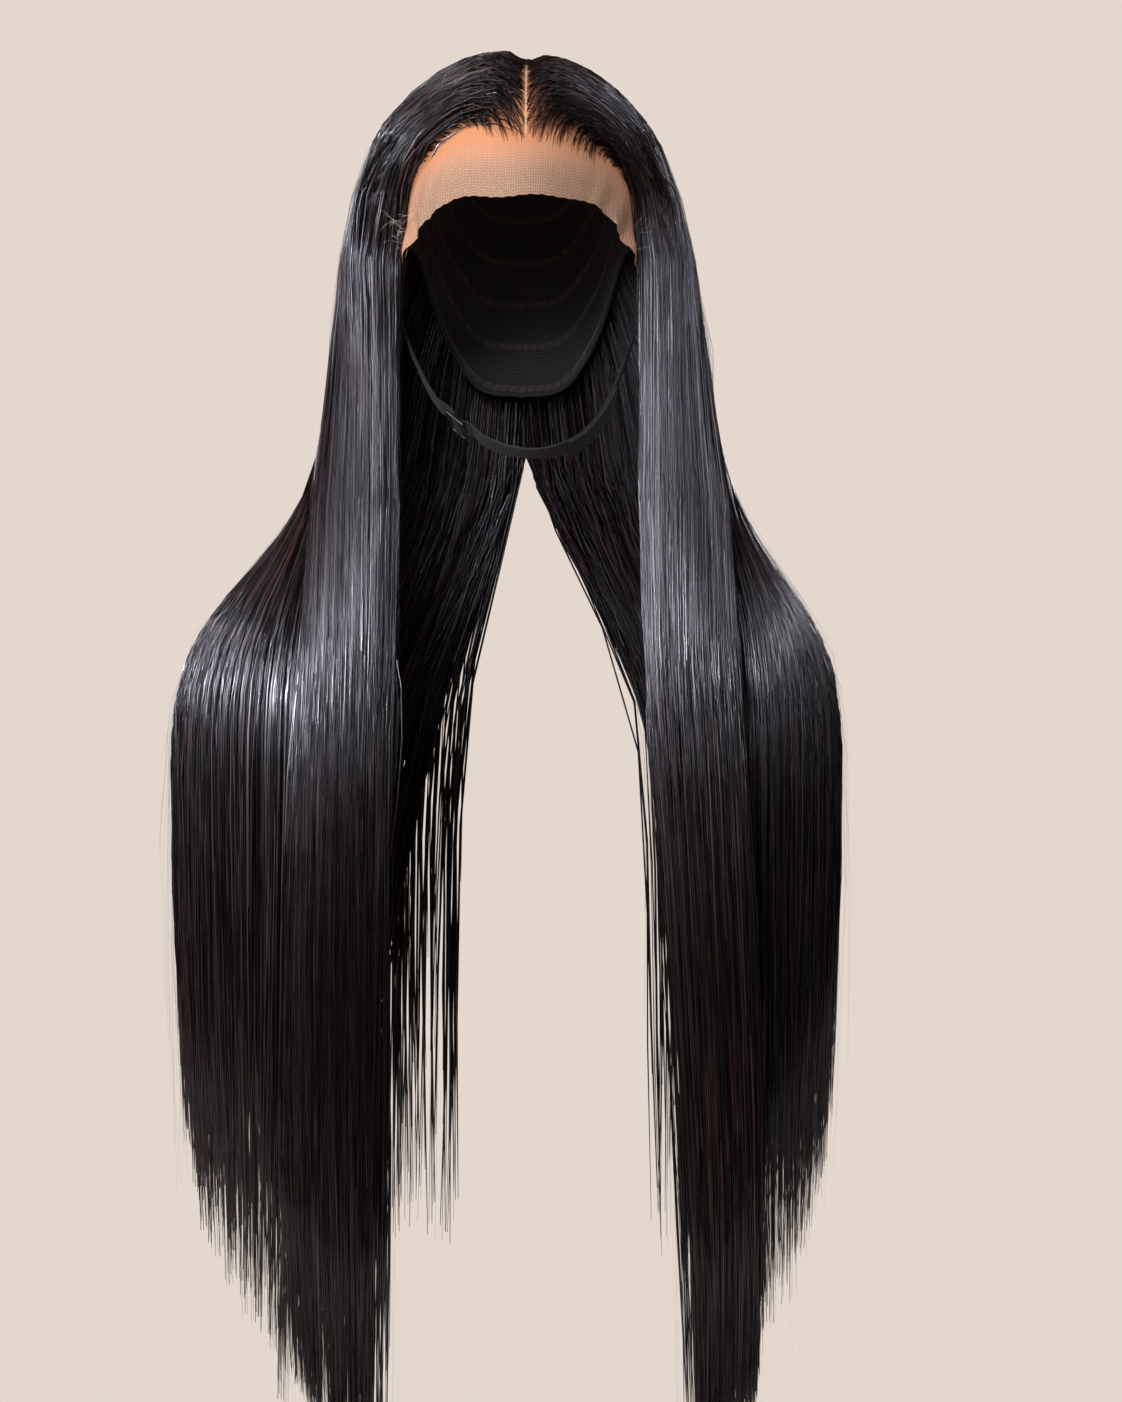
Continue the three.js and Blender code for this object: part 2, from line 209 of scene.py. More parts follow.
def laceMaterial():
    # Knotted polyester lace net: sheer and skin toned, with fine threads; the net is drawn at 1.5 mm, twice
    # its real size, so that it shows
    material, tree, shader = startMaterial("sheerLaceNet")
    netSize = 0.0015
    partLine = {"core": 0.00015, "edge": 0.0008, "from": -0.056, "to": -0.046}  # half widths, heights
    netMap = addNode(tree, "UVMap", uv_map="net")
    cells = addNode(
        tree,
        "TexVoronoi",
        {"Vector": netMap, "Scale": 1 / netSize, "Randomness": 0.35},
        feature="DISTANCE_TO_EDGE",
    )
    thread = addNode(
        tree, "MapRange", {"Value": cells, "From Min": 0.06, "From Max": 0.2, "To Min": 1.0, "To Max": 0.0}
    )
    held = addNode(tree, "Attribute", attribute_name="hold")
    tone = addNode(tree, "ValToRGB", {"Fac": held.outputs["Fac"]})
    fillRamp(tone, [(0, "#dcae8c"), (0.5, "#dda07a"), (1, "#e0925f")])
    place = addNode(tree, "TexCoord")
    spot = addNode(tree, "SeparateXYZ", {"Vector": place.outputs["Object"]})
    aside = addNode(tree, "Math", {0: spot.outputs["X"], 1: part["x"]}, operation="SUBTRACT")
    offPart = addNode(tree, "Math", {0: aside}, operation="ABSOLUTE")
    edges = {"From Min": partLine["core"], "From Max": partLine["edge"], "To Min": 1.0, "To Max": 0.0}
    core = addNode(tree, "MapRange", {"Value": offPart, **edges})
    start = {"From Min": partLine["from"], "From Max": partLine["to"]}
    above = addNode(tree, "MapRange", {"Value": spot.outputs["Z"], **start})
    pale = addNode(tree, "Math", {0: core, 1: above}, operation="MULTIPLY")
    colour = addNode(tree, "Mix", {"Factor": pale, "A": tone, "B": linearColour("#f6cfa6")}, data_type="RGBA")
    film = addNode(tree, "MapRange", {"Value": held.outputs["Fac"], "To Min": 0.3, "To Max": 0.95})
    cover = addNode(tree, "Math", {0: thread, 1: 0.4, 2: film}, operation="MULTIPLY_ADD", use_clamp=True)
    bump = addNode(tree, "Bump", {"Height": thread, "Strength": 0.35, "Distance": 0.0004})
    setInputs(shader, {"Base Color": colour, "Alpha": cover})
    setInputs(shader, {"Normal": bump, "Roughness": 0.6, "Sheen Weight": 0.15})
    return material


def capMaterial():
    # Black stretch net, knitted nylon with the hair's wefts sewn on in rows 22 mm apart: matte, with a fine
    # grid that is drawn at 2 mm so that it shows
    material, tree, shader = startMaterial("knittedStretchNet")
    meshSize, halfRow, halfStitch = 0.002, 0.011, 0.0035
    netMap = addNode(tree, "UVMap", uv_map="net")
    cells = addNode(
        tree,
        "TexVoronoi",
        {"Vector": netMap, "Scale": 1 / meshSize, "Randomness": 0.0},
        feature="DISTANCE_TO_EDGE",
    )
    net = addNode(tree, "ValToRGB", {"Fac": cells})
    fillRamp(net, [(0.05, "#262220"), (0.3, "#0b090a")])
    place = addNode(tree, "SeparateXYZ", {"Vector": netMap})
    row = addNode(tree, "Math", {0: place.outputs["Y"], 1: halfRow}, operation="PINGPONG")
    weft = addNode(
        tree,
        "MapRange",
        {"Value": row, "From Min": 0.0012, "From Max": 0.0022, "To Min": 1.0, "To Max": 0.0},
        interpolation_type="SMOOTHSTEP",
    )
    stitch = addNode(tree, "Math", {0: place.outputs["X"], 1: halfStitch}, operation="PINGPONG")
    dash = addNode(
        tree, "MapRange", {"Value": stitch, "From Min": 0.0008, "From Max": 0.0014, "To Min": 0.25}
    )
    sewn = addNode(tree, "Math", {0: weft, 1: dash}, operation="MULTIPLY")
    colour = addNode(tree, "Mix", {"Factor": sewn, "A": net, "B": linearColour("#3b3431")}, data_type="RGBA")
    height = addNode(tree, "Math", {0: weft, 1: 1.5, 2: cells}, operation="MULTIPLY_ADD")
    bump = addNode(tree, "Bump", {"Height": height, "Strength": 0.7, "Distance": 0.0008})
    setInputs(shader, {"Base Color": colour, "Normal": bump, "Roughness": 0.85, "Sheen Weight": 0.2})
    return material


def threadMaterial(name, pale, dark):
    # Twisted polyester thread: a soft gloss with ply marks every 0.5 mm along its length
    material, tree, shader = startMaterial(name)
    plySize = 0.0005
    place = addNode(tree, "TexCoord")
    plies = {"Vector": place.outputs["Object"], "Scale": waveScale / plySize}
    ply = addNode(tree, "TexWave", plies, bands_direction="DIAGONAL")
    colour = addNode(tree, "ValToRGB", {"Fac": ply.outputs["Fac"]})
    fillRamp(colour, [(0, dark), (1, pale)])
    setInputs(shader, {"Base Color": colour, "Roughness": 0.45})
    return material


def elasticMaterial():
    # Woven elastic webbing: black yarn in close cross ribs, drawn at 1.6 mm so that they show
    material, tree, shader = startMaterial("wovenElastic")
    ribSize, yarnSize = 0.0016, 0.0032
    bandMap = addNode(tree, "UVMap", uv_map="band")
    ribs = addNode(
        tree,
        "TexWave",
        {"Vector": bandMap, "Scale": waveScale / ribSize, "Distortion": 0.6, "Detail": 1.0},
        bands_direction="X",
    )
    yarns = addNode(tree, "TexWave", {"Vector": bandMap, "Scale": waveScale / yarnSize}, bands_direction="Y")
    weave = addNode(tree, "Math", {0: ribs.outputs["Fac"], 1: yarns.outputs["Fac"]}, operation="MULTIPLY")
    colour = addNode(tree, "ValToRGB", {"Fac": weave})
    fillRamp(colour, [(0, "#060607"), (1, "#1d1c20")])
    bump = addNode(tree, "Bump", {"Height": weave, "Strength": 0.5, "Distance": 0.0004})
    setInputs(shader, {"Base Color": colour, "Normal": bump, "Roughness": 0.66, "Sheen Weight": 0.06})
    return material


def sliderMaterial():
    # Injection-moulded nylon: black, half gloss, with a faint mould grain of 0.6 mm
    material, tree, shader = startMaterial("mouldedNylon")
    grainSize = 0.0006
    place = addNode(tree, "TexCoord")
    grain = addNode(
        tree, "TexNoise", {"Vector": place.outputs["Object"], "Scale": 1 / grainSize, "Detail": 3.0}
    )
    colour = addNode(tree, "ValToRGB", {"Fac": grain.outputs["Fac"]})
    fillRamp(colour, [(0.3, "#111114"), (0.7, "#202024")])
    bump = addNode(tree, "Bump", {"Height": grain.outputs["Fac"], "Strength": 0.15, "Distance": 0.0002})
    setInputs(shader, {"Base Color": colour, "Normal": bump, "Roughness": 0.26})
    return material


def paperMaterial():
    # Matte floor paper: pale and warm, with a soft cloud of tone; it thins out to nothing at its rim
    material, tree, shader = startMaterial("floorPaper")
    cloudSize = 5 / 6
    place = addNode(tree, "TexCoord")
    cloud = addNode(
        tree, "TexNoise", {"Vector": place.outputs["Object"], "Scale": 1 / cloudSize, "Detail": 2.0}
    )
    colour = addNode(tree, "ValToRGB", {"Fac": cloud.outputs["Fac"]})
    fillRamp(colour, [(0.35, "#dfd2c4"), (0.65, "#e2d6c8")])
    reach = addNode(tree, "VectorMath", {0: place.outputs["Object"]}, operation="LENGTH")
    fade = addNode(
        tree,
        "MapRange",
        {"Value": reach, "From Min": 1.35, "From Max": 2.1, "To Min": 1.0, "To Max": 0.0},
        interpolation_type="SMOOTHSTEP",
    )
    setInputs(shader, {"Base Color": colour, "Alpha": fade})
    setInputs(shader, {"Roughness": 0.95, "Specular IOR Level": 0.1})
    return material


hair = hairMaterial()
lace = laceMaterial()
capNet = capMaterial()
elastic = elasticMaterial()
nylon = sliderMaterial()
threadFibre = threadMaterial("paleNetThread", "#f6ece4", "#dcc6b6")
blackThread = threadMaterial("blackSewingThread", "#2e2c31", "#121114")
paper = paperMaterial()
print("materials made")


# Hair: level sections close to those of the solids, and strands that run through them.

levelColumns = "z inX inY midX midY outX outY thick"  # edge, middle and edge of a curtain at a height
laceHairRows = tableOf(
    levelColumns,
    (-0.120, 0.069, -0.041, 0.089, -0.025, 0.099, 0.005, 0.014),
    (-0.150, 0.069, -0.047, 0.093, -0.033, 0.104, 0.000, 0.012),
    (-0.200, 0.069, -0.053, 0.095, -0.044, 0.109, -0.016, 0.012),
    (-0.245, 0.069, -0.060, 0.097, -0.056, 0.115, -0.036, 0.012),
    (-0.300, 0.0695, -0.072, 0.097, -0.073, 0.118, -0.061, 0.011),
    (-0.360, 0.071, -0.086, 0.099, -0.090, 0.122, -0.083, 0.011),
    (-0.440, 0.073, -0.092, 0.101, -0.097, 0.127, -0.090, 0.011),
    (-0.580, 0.073, -0.090, 0.102, -0.095, 0.130, -0.089, 0.010),
    (-0.700, 0.0735, -0.086, 0.101, -0.091, 0.128, -0.086, 0.008),
    (-0.800, 0.075, -0.082, 0.099, -0.086, 0.120, -0.082, 0.006),
)
shoulderHairRows = tableOf(
    levelColumns,
    (-0.150, 0.101, 0.012, 0.102, 0.042, 0.086, 0.074, 0.012),
    (-0.200, 0.104, -0.002, 0.107, 0.034, 0.090, 0.070, 0.012),
    (-0.245, 0.106, -0.016, 0.117, 0.020, 0.098, 0.064, 0.012),
    (-0.282, 0.107, -0.032, 0.139, -0.001, 0.114, 0.058, 0.012),
    (-0.312, 0.106, -0.046, 0.164, -0.012, 0.134, 0.056, 0.012),
    (-0.341, 0.104, -0.060, 0.182, -0.017, 0.148, 0.056, 0.012),
    (-0.375, 0.103, -0.070, 0.191, -0.019, 0.157, 0.057, 0.012),
    (-0.440, 0.104, -0.076, 0.192, -0.020, 0.162, 0.058, 0.012),
    (-0.560, 0.108, -0.075, 0.189, -0.020, 0.162, 0.056, 0.010),
    (-0.720, 0.114, -0.072, 0.182, -0.020, 0.158, 0.052, 0.007),
)
backHairRows = tableOf(
    levelColumns,
    (-0.150, 0.083, 0.078, 0.054, 0.102, 0.002, 0.110, 0.013),
    (-0.210, 0.088, 0.075, 0.056, 0.100, 0.004, 0.108, 0.012),
    (-0.260, 0.102, 0.068, 0.065, 0.096, 0.013, 0.104, 0.012),
    (-0.320, 0.138, 0.064, 0.092, 0.094, 0.030, 0.101, 0.011),
    (-0.390, 0.158, 0.064, 0.106, 0.093, 0.043, 0.099, 0.011),
    (-0.560, 0.158, 0.062, 0.108, 0.091, 0.046, 0.097, 0.009),
    (-0.720, 0.150, 0.058, 0.104, 0.087, 0.048, 0.092, 0.006),
)
# u runs across a curtain from its front edge (0) to its back edge (1)
curtains = {
    "laceHair": dict(
        node="lace_hair", rows=laceHairRows, rootFrom=-0.080, rootTo=0.020, azimuthFrom=66, azimuthTo=92,
        tips=((0, -0.800), (0.4, -0.797), (0.65, -0.785), (0.85, -0.772), (1, -0.760)), arch=0.3,
        span=(-0.01, 1.03), strands=1620, strays=70, locks=20, clump=(0.3, 0.95), inside=0.12, shortest=0.12,
        point=0.02, splitFrom=0.25, domeSteps=9, crowd=1.8,
        fallShares=(0.12, 0.24, 0.36, 0.48, 0.64, 0.82, 1.0),
    ),
    "shoulderHair": dict(
        node="shoulder_hair", rows=shoulderHairRows, rootFrom=0.023, rootTo=0.040, azimuthFrom=94,
        azimuthTo=140,
        tips=(
            (0, -0.772), (0.065, -0.760), (0.155, -0.738), (0.27, -0.702), (0.42, -0.665), (0.55, -0.620),
            (0.65, -0.618), (0.8, -0.650), (1, -0.690),
        ),
        arch=0.0, span=(-0.11, 1.03), strands=1830, strays=80, locks=30, clump=(0.7, 1.0), inside=0.2,
        shortest=0.11, point=0.05, splitFrom=0.45, domeSteps=7, crowd=1.15,
        fallShares=(0.11, 0.20, 0.27, 0.33, 0.38, 0.425, 0.47, 0.52, 0.61, 0.78, 1.0),
    ),
    "backHair": dict(
        node="back_hair", rows=backHairRows, rootFrom=0.043, rootTo=0.058, azimuthFrom=142, azimuthTo=178.6,
        tips=((0, -0.650), (0.5, -0.680), (1, -0.700)), arch=0.0,
        span=(-0.03, 1.06), strands=1180, strays=70, locks=26, clump=(0.0, 0.6), inside=0.35, shortest=0.2,
        point=0.03, splitFrom=0.25, domeSteps=7, crowd=1.15,
        fallShares=(0.12, 0.24, 0.35, 0.47, 0.62, 0.82, 1.0),
    ),
}
sides = {  # grow is the thickness over the head, the turns are degrees that strands roll to catch the light
    "Left": dict(
        node="left", sign=-1, grow=(0.023, 0.016, 0.0122), flare=1.02, drift=0.0, backGap=1.0, gather=0.75,
        turn=(30, -14), edgeTurn=45, restTurn=-25,
        hairline=((0, 0.01), (0.1, -0.035), (0.24, -0.035), (0.38, 0.0), (1, 0)),
    ),
    "Right": dict(
        node="right", sign=1, grow=(0.018, 0.016, 0.0095), flare=0.82, drift=0.020, backGap=1.72, gather=0.92,
        turn=(-55, -55), edgeTurn=-55, restTurn=30,
        hairline=(
            (0, 0.01), (0.1, -0.035), (0.25, -0.06), (0.4, -0.08), (0.55, -0.08), (0.7, -0.03), (0.85, 0),
            (1, 0),
        ),
    ),
}
crownRise = {  # thickness over the head, as a share of each side's own, from the part outwards
    "share": (-0.1, -0.03, 0.0, 0.05, 0.13, 0.34, 0.5, 0.72, 1.0),
    "body": (0.02, 0.12, 0.2, 0.43, 0.63, 0.74, 0.82, 1.0, 1.0),
}
# below ear level, with heights counted downwards
fall = {"flareFrom": 0.118, "driftFrom": 0.280, "driftTo": 0.780, "edgeShare": 0.55, "swell": 0.0048}
strandSize = {
    "radius": 0.00054,  # half the width of a small bundle of hairs, the finest that shows
    "root": 0.11,  # share of the radius at its two ends
    "tip": 0.26,
    "wide": 1.3,
    "flat": 0.42,
    "roll": 24,  # degrees that bundles turn about their own length
    "stray": 0.00014,
    "fine": (0.00012, 0.00024),  # radius of the short hairs along the hairline and the part
}
comb = {
    "atEdge": 0.22,  # share of strands at the very edge; the others are knotted in further back, under these
    "bare": (0.055, 0.002),  # how far beside the part those others start, in front and behind
    "bareTurn": (0.72, 0.93),
    "overlap": (-0.10, -0.03),  # behind the part the two sides lie over each other
    "runBack": 0.14,  # off the part the hair runs back from its tuft before it turns aside
    "frontTo": 0.24,  # the inner edges are gathered to here low down, which leaves them stringy
    "backTo": (0.45, 0.42),
    "loose": 0.25,
    "tipStep": (-0.012, 0.018),  # how far a whole lock ends above or below its neighbours
    "tipDrop": 0.006,
    "sway": 0.002,
    "tuck": 0.006,
}


def rootAndEar(curtain, side, u):
    # directions from the head's middle to a strand's root on the part and to its place at ear level
    y = mixed(curtain["rootFrom"], curtain["rootTo"], u)
    wayX = (part["x"] + side["sign"] * part["half"] - head["centre"][0]) / head["radii"][0] + 0 * y
    wayY = (y - head["centre"][1]) / head["radii"][1]
    root = np.stack([wayX, wayY, np.sqrt(np.maximum(1 - wayX**2 - wayY**2, 0))], -1)
    azimuth = np.radians(mixed(curtain["azimuthFrom"], curtain["azimuthTo"], u))
    return root, np.stack([side["sign"] * np.sin(azimuth), -np.cos(azimuth), 0 * azimuth], -1)


def domeAt(curtain, side, u, share, depth):
    # over the head, from the root on the part (share 0) to ear level (share 1); depth 0 is inside, 1 outside
    u, share, depth = np.broadcast_arrays(u, share, depth)
    way = slerp(*rootAndEar(curtain, side, u), share)
    way[..., 2] += curtain["arch"] * (1 - np.maximum(u, 0)) ** 2 * np.sin(math.pi * share) * (1 - 0.4 * share)
    way = unit(way)
    base = seat["cap"] + seat["rootGap"]
    body = curveAt(crownRise["share"], crownRise["body"], np.clip(share, -0.1, 1))
    if curtain["arch"]:
        body = body * mixed(0.22, 1, smooth(u, -0.05, 0.42))
    outer = mixed(base + seat["rootThick"], np.array(side["grow"]), body[..., None])
    return onHead(way, mixed(base, outer, depth[..., None]))


def levelPoints(curtain, side, u, depth):
    # plan points of every level row for each strand: array of row, strand, x and y
    def spread(x):
        return fall["flareFrom"] + (x - fall["flareFrom"]) * side["flare"] if x > fall["flareFrom"] else x

    levels = []
    for row in curtain["rows"]:
        slide = side["drift"] * smooth(-row["z"], fall["driftFrom"], fall["driftTo"])
        slide = slide if curtain["node"] == "lace_hair" else 0.0
        outX = spread(row["outX"]) + slide * 0.5
        if curtain["node"] == "back_hair":
            outX = row["outX"] * side["backGap"]
        xs = (spread(row["inX"]) + slide, spread(row["midX"]) + slide * 0.75, outX)
        ys = (row["inY"], row["midY"], row["outY"])
        (ax, bx, cx), (ay, by, cy) = (
            (2 * (a + b - 2 * m), 4 * m - 3 * a - b, a) for a, m, b in (xs, ys)
        )
        normal = -unit(np.stack([-(2 * ay * u + by), 2 * ax * u + bx], -1))
        edge = mixed(fall["edgeShare"], 1, np.sqrt(np.sin(math.pi * np.clip(u, 0, 1))))
        reach = (row["thick"] * edge * (depth - 0.5))[..., None] * normal
        x = side["sign"] * (ax * u * u + bx * u + cx + reach[..., 0])
        levels.append(np.stack([x, ay * u * u + by * u + cy + reach[..., 1]], -1))
    return np.stack(levels)


def fallAt(curtain, side, u, depth, z):
    # below ear level: strands at u and depth, read at heights z[strand, point]
    start = domeAt(curtain, side, u, np.ones_like(u), depth)
    plan = np.concatenate([start[None, :, :2], levelPoints(curtain, side, u, depth)])
    heights = [head["centre"][2]] + [row["z"] for row in curtain["rows"]]
    xy = hermite(heights, plan, z, np.arange(len(u))[:, None])
    return np.concatenate([xy, z[..., None]], -1)


def tipLevel(curtain, u):
    return np.interp(u, *zip(*curtain["tips"]))


def eased(paths, around, passes=2):
    # takes the corner out of each path where the head ends and the free fall starts
    for _ in range(passes):
        for i in (around - 1, around, around + 1):
            paths[:, i] += 0.25 * (paths[:, i - 1] - 2 * paths[:, i] + paths[:, i + 1])
    return paths


def combedDome(curtain, side, u, depth, rng):
    # over the head: paths, which strands start at the hairline, and how unevenly each one's points lie
    count, steps = curtain["strands"], curtain["domeSteps"]
    fromHairline = (rng.random(count) < 0.98 * (1 - smooth(u, 0.1, 0.45))) & (curtain["arch"] > 0)
    tuft = rootTufts["hairline"][rng.integers(0, len(rootTufts["hairline"]), count)]
    tuft = tuft + rng.normal(0, 0.0025, count)
    atEdge = rng.random(count) < comb["atEdge"]
    bare = mixed(*comb["bare"], smooth(u, *comb["bareTurn"]))
    fromLine = np.where(atEdge, rng.uniform(-0.004, 0.008, count), bare + 0.2 * rng.random(count) ** 1.1)
    shareFrom = np.where(fromHairline, np.abs(tuft), fromLine)
    bridging = (u > 0.985) | (curtain["arch"] == 0)  # these start beyond the part
    shareFrom = np.where(bridging, rng.uniform(*comb["overlap"], count), shareFrom)[:, None]
    even = np.linspace(0, 1, steps)[None, :]
    slack = rng.uniform(-0.4, 0.4, (count, 1)) / (steps - 1)
    share = shareFrom + (1 - shareFrom) * (even ** curtain["crowd"] + slack * np.sin(math.pi * even))
    grown = share - shareFrom
    rootU = u
    if curtain["arch"]:
        tuft = np.searchsorted(rootTufts["part"], u - comb["runBack"]).clip(0, len(rootTufts["part"]) - 1)
        rootU = rootTufts["part"][tuft] + rng.normal(0, 0.004, count)
    runBackTo, carried, soon = 0.18, 0.13, 0.10
    fromPart = mixed(u[:, None], rootU[:, None], (1 - np.clip(share / runBackTo, 0, 1)) ** 2)
    high = (carried * (1 - smooth(u, 0, 0.3)))[:, None] * (1 - smooth(share, 0.58, 1))
    turn = np.minimum(soon, (1 - shareFrom) / 4)  # how soon hair from the hairline bends into the comb
    edgeU = np.where(atEdge, rng.uniform(-0.014, 0.018, count), rng.uniform(0.05, 0.16, count))
    edgeU = edgeU[:, None] + hairlineAt(side, shareFrom)
    fromEdge = mixed(edgeU, u[:, None] + high, 1 - np.exp(-grown / turn))
    domeU = np.where(fromHairline[:, None], fromEdge, fromPart)
    rise = np.where(bridging, 0.1, mixed(0.15, 0.07, smooth(u, 0.5, 0.8)))[:, None]
    rootDepth = np.where(bridging, 0.1, mixed(-0.35, 0.1, smooth(u, 0.5, 0.75)))[:, None]
    domeDepth = mixed(rootDepth, depth[:, None], smooth(grown, 0, rise))
    return domeAt(curtain, side, domeU, share, domeDepth), fromHairline, slack


def combedFall(curtain, side, u, depth, slack, rng):
    # from ear level to the tips, in locks that draw together and end in points
    count, locks = curtain["strands"], curtain["locks"]
    lock = np.clip(np.floor(u * locks).astype(int), 0, locks)
    lockU = (lock + 0.5 + rng.uniform(-0.3, 0.3, locks + 1)[lock]) / locks
    lockTip = rng.uniform(*comb["tipStep"], locks + 1)[lock]
    lowU = mixed(u, lockU, rng.uniform(*curtain["clump"], count)) + rng.normal(0, 0.008, count)
    lowU = np.clip(lowU, *curtain["span"])
    gathered = np.random.default_rng(count).random(count) < side["gather"]
    if curtain["node"] == "lace_hair":
        lowU = np.where(gathered & (u < comb["frontTo"]), mixed(comb["frontTo"], lowU, comb["loose"]), lowU)
    elif curtain["node"] == "back_hair":
        backFrom, backTo = comb["backTo"]
        lowU = np.where(gathered & (u > backFrom), mixed(backTo, lowU, comb["loose"]), lowU)
    aside = np.clip(np.abs(u * locks - lock - 0.5) * 2, 0, 1)  # 0 in the middle of a lock, 1 at its sides
    lockTip = lockTip + curtain["point"] * aside**1.5
    tip = tipLevel(curtain, u) + curtain["shortest"] * rng.random(count) ** 3.2 - comb["tipDrop"] + lockTip
    fallShares = np.array(curtain["fallShares"])[None, :]
    fallShares = fallShares + slack * 0.3 * np.sin(math.pi * fallShares)
    z = mixed(head["centre"][2], tip[:, None], fallShares)
    near = fallAt(curtain, side, u, depth, z)
    far = fallAt(curtain, side, lowU, mixed(depth, 0.6, 0.3), z)
    down = smooth(fallShares, curtain["splitFrom"], 1.0)[..., None]
    hang = mixed(near, far, down)
    phase = rng.uniform(0, 2 * math.pi, (count, 1, 2))
    waves = 2 * math.pi * rng.uniform(0.6, 1.7, (count, 1, 1))
    hang[..., :2] += comb["sway"] * np.sin(waves * fallShares[..., None] + phase) * mixed(0.35, 1, down)
    tucked = comb["tuck"] * edgeTuck(curtain, u)[:, None]
    hang[..., 1] += tucked * smooth(-z, 0.10, 0.17) * (1 - smooth(-z, 0.30, 0.44))
    return hang


def combedStrands(curtain, side, rng):
    # the body of one curtain: strands from the part or the hairline over the head and down to their tips
    count = curtain["strands"]
    u = rng.uniform(*curtain["span"], count)
    inside = rng.random(count) < curtain["inside"]
    depth = np.where(inside, rng.uniform(0.0, 0.3, count), 1 - 0.55 * rng.random(count) ** 1.6)
    dome, fromHairline, slack = combedDome(curtain, side, u, depth, rng)
    hang = combedFall(curtain, side, u, depth, slack, rng)
    paths = eased(np.concatenate([dome, hang], 1), curtain["domeSteps"] - 1)
    return swelled(paths, side), u, fromHairline


def spacedTufts(low, high, count, rng):
    return low + (high - low) * (np.arange(count) + 0.5 + rng.uniform(-0.35, 0.35, count)) / count


rootTufts = {
    "hairline": spacedTufts(0.0, 0.97, 44, np.random.default_rng(7)),  # about 4 mm apart
    "part": spacedTufts(-0.02, 0.97, 32, np.random.default_rng(8)),
}


def hairlineAt(side, share):
    # how far the hairline lies before (-) or behind the front end of the curtain's own span
    return np.interp(share, *zip(*side["hairline"]))


def swelled(paths, side):
    # the hair stands a little further out below the ears than its level sections say
    x, z = np.abs(paths[..., 0]), -paths[..., 2]
    out = smooth(z, 0.055, 0.088) * (1 - smooth(z, 0.135, 0.195)) * smooth(x, 0.068, 0.090)
    paths[..., 0] += side["sign"] * fall["swell"] * out
    return paths


def edgeTuck(curtain, u):
    # 1 at the front edge, where the curtain rolls under, 0 from a sixth of its width on
    return (1 - smooth(u, 0.0, 0.17)) if curtain["arch"] else 0 * u


def strayStrands(curtain, side, rng):
    # single hairs that stand off the curtain
    count, steps = curtain["strays"], curtain["domeSteps"]
    u = rng.uniform(0.0, 1.0, count)
    share = np.linspace(0, 1, steps)[None, :]
    lift = rng.uniform(-0.1, 0.06, count)[:, None] * np.sin(math.pi * share)
    dome = domeAt(curtain, side, u[:, None], share, (1.0 + lift) * smooth(share, -0.02, 0.16))
    tip = tipLevel(curtain, u) + 0.3 * rng.random(count) ** 2 - comb["tipDrop"]
    fallShares = np.array(curtain["fallShares"])[None, :]
    z = mixed(head["centre"][2], tip[:, None], fallShares)
    lowU = np.clip(u + rng.normal(0, 0.1, count), -0.06, 1.06)
    bow = fallShares[..., None] ** 1.5
    near = fallAt(curtain, side, u, np.ones(count), z)
    hang = mixed(near, fallAt(curtain, side, lowU, 1 + rng.uniform(0, 0.8, count), z), bow)
    hang[..., :2] += 0.004 * bow * np.sin(rng.uniform(2, 7, (count, 1, 2)) * fallShares[..., None])
    return swelled(eased(np.concatenate([dome, hang], 1), steps - 1), side), u


def fineStrands(curtain, side, rng, hairline=210, partLine=120):
    # short fine hairs knotted into the lace in tufts: along the hairline they rise and bend into the comb,
    # along the part they lean back and fan out
    t = np.linspace(0, 1, 8)[None, :]
    tufts = rootTufts["hairline"]
    pick = rng.integers(0, len(tufts), hairline)
    reach = rng.uniform(0.1, 0.19, len(tufts))[pick] * rng.uniform(0.6, 1.2, hairline)
    aside = mixed(0.15, 0.0, smooth(tufts, 0.3, 0.85)) + rng.uniform(-0.02, 0.02, len(tufts))
    bend = aside[pick] * rng.uniform(0.8, 1.2, hairline)
    shareFrom = np.abs(tufts[pick] + rng.normal(0, 0.0022, hairline))[:, None]
    u = rng.uniform(-0.03, 0.012, hairline)[:, None] + hairlineAt(side, shareFrom)
    u = u + reach[:, None] * (1 - (1 - t) ** 1.7)
    share = np.minimum(shareFrom + bend[:, None] * t**1.15, 1.0)
    depth = mixed(-0.55, rng.uniform(0.4, 1.0, hairline)[:, None], smooth(t, 0, 1))
    edgeHairs = domeAt(curtain, side, u, share, depth)
    tufts = rootTufts["part"]
    pick = rng.integers(0, len(tufts), partLine)
    reach = rng.uniform(0.09, 0.15, len(tufts))[pick] * rng.uniform(0.7, 1.2, partLine)
    uFrom = (tufts[pick] + rng.normal(0, 0.003, partLine))[:, None]
    u = np.maximum(uFrom, -0.012) + reach[:, None] * (1 - (1 - t) ** 1.6)
    share = rng.uniform(-0.005, 0.004, partLine)[:, None] + rng.uniform(0.07, 0.14, partLine)[:, None] * t
    depth = mixed(-0.55, rng.uniform(0.4, 1.0, partLine)[:, None], smooth(t, 0, 1))
    partHairs = domeAt(curtain, side, u, share, depth)
    return np.concatenate([edgeHairs, partHairs])


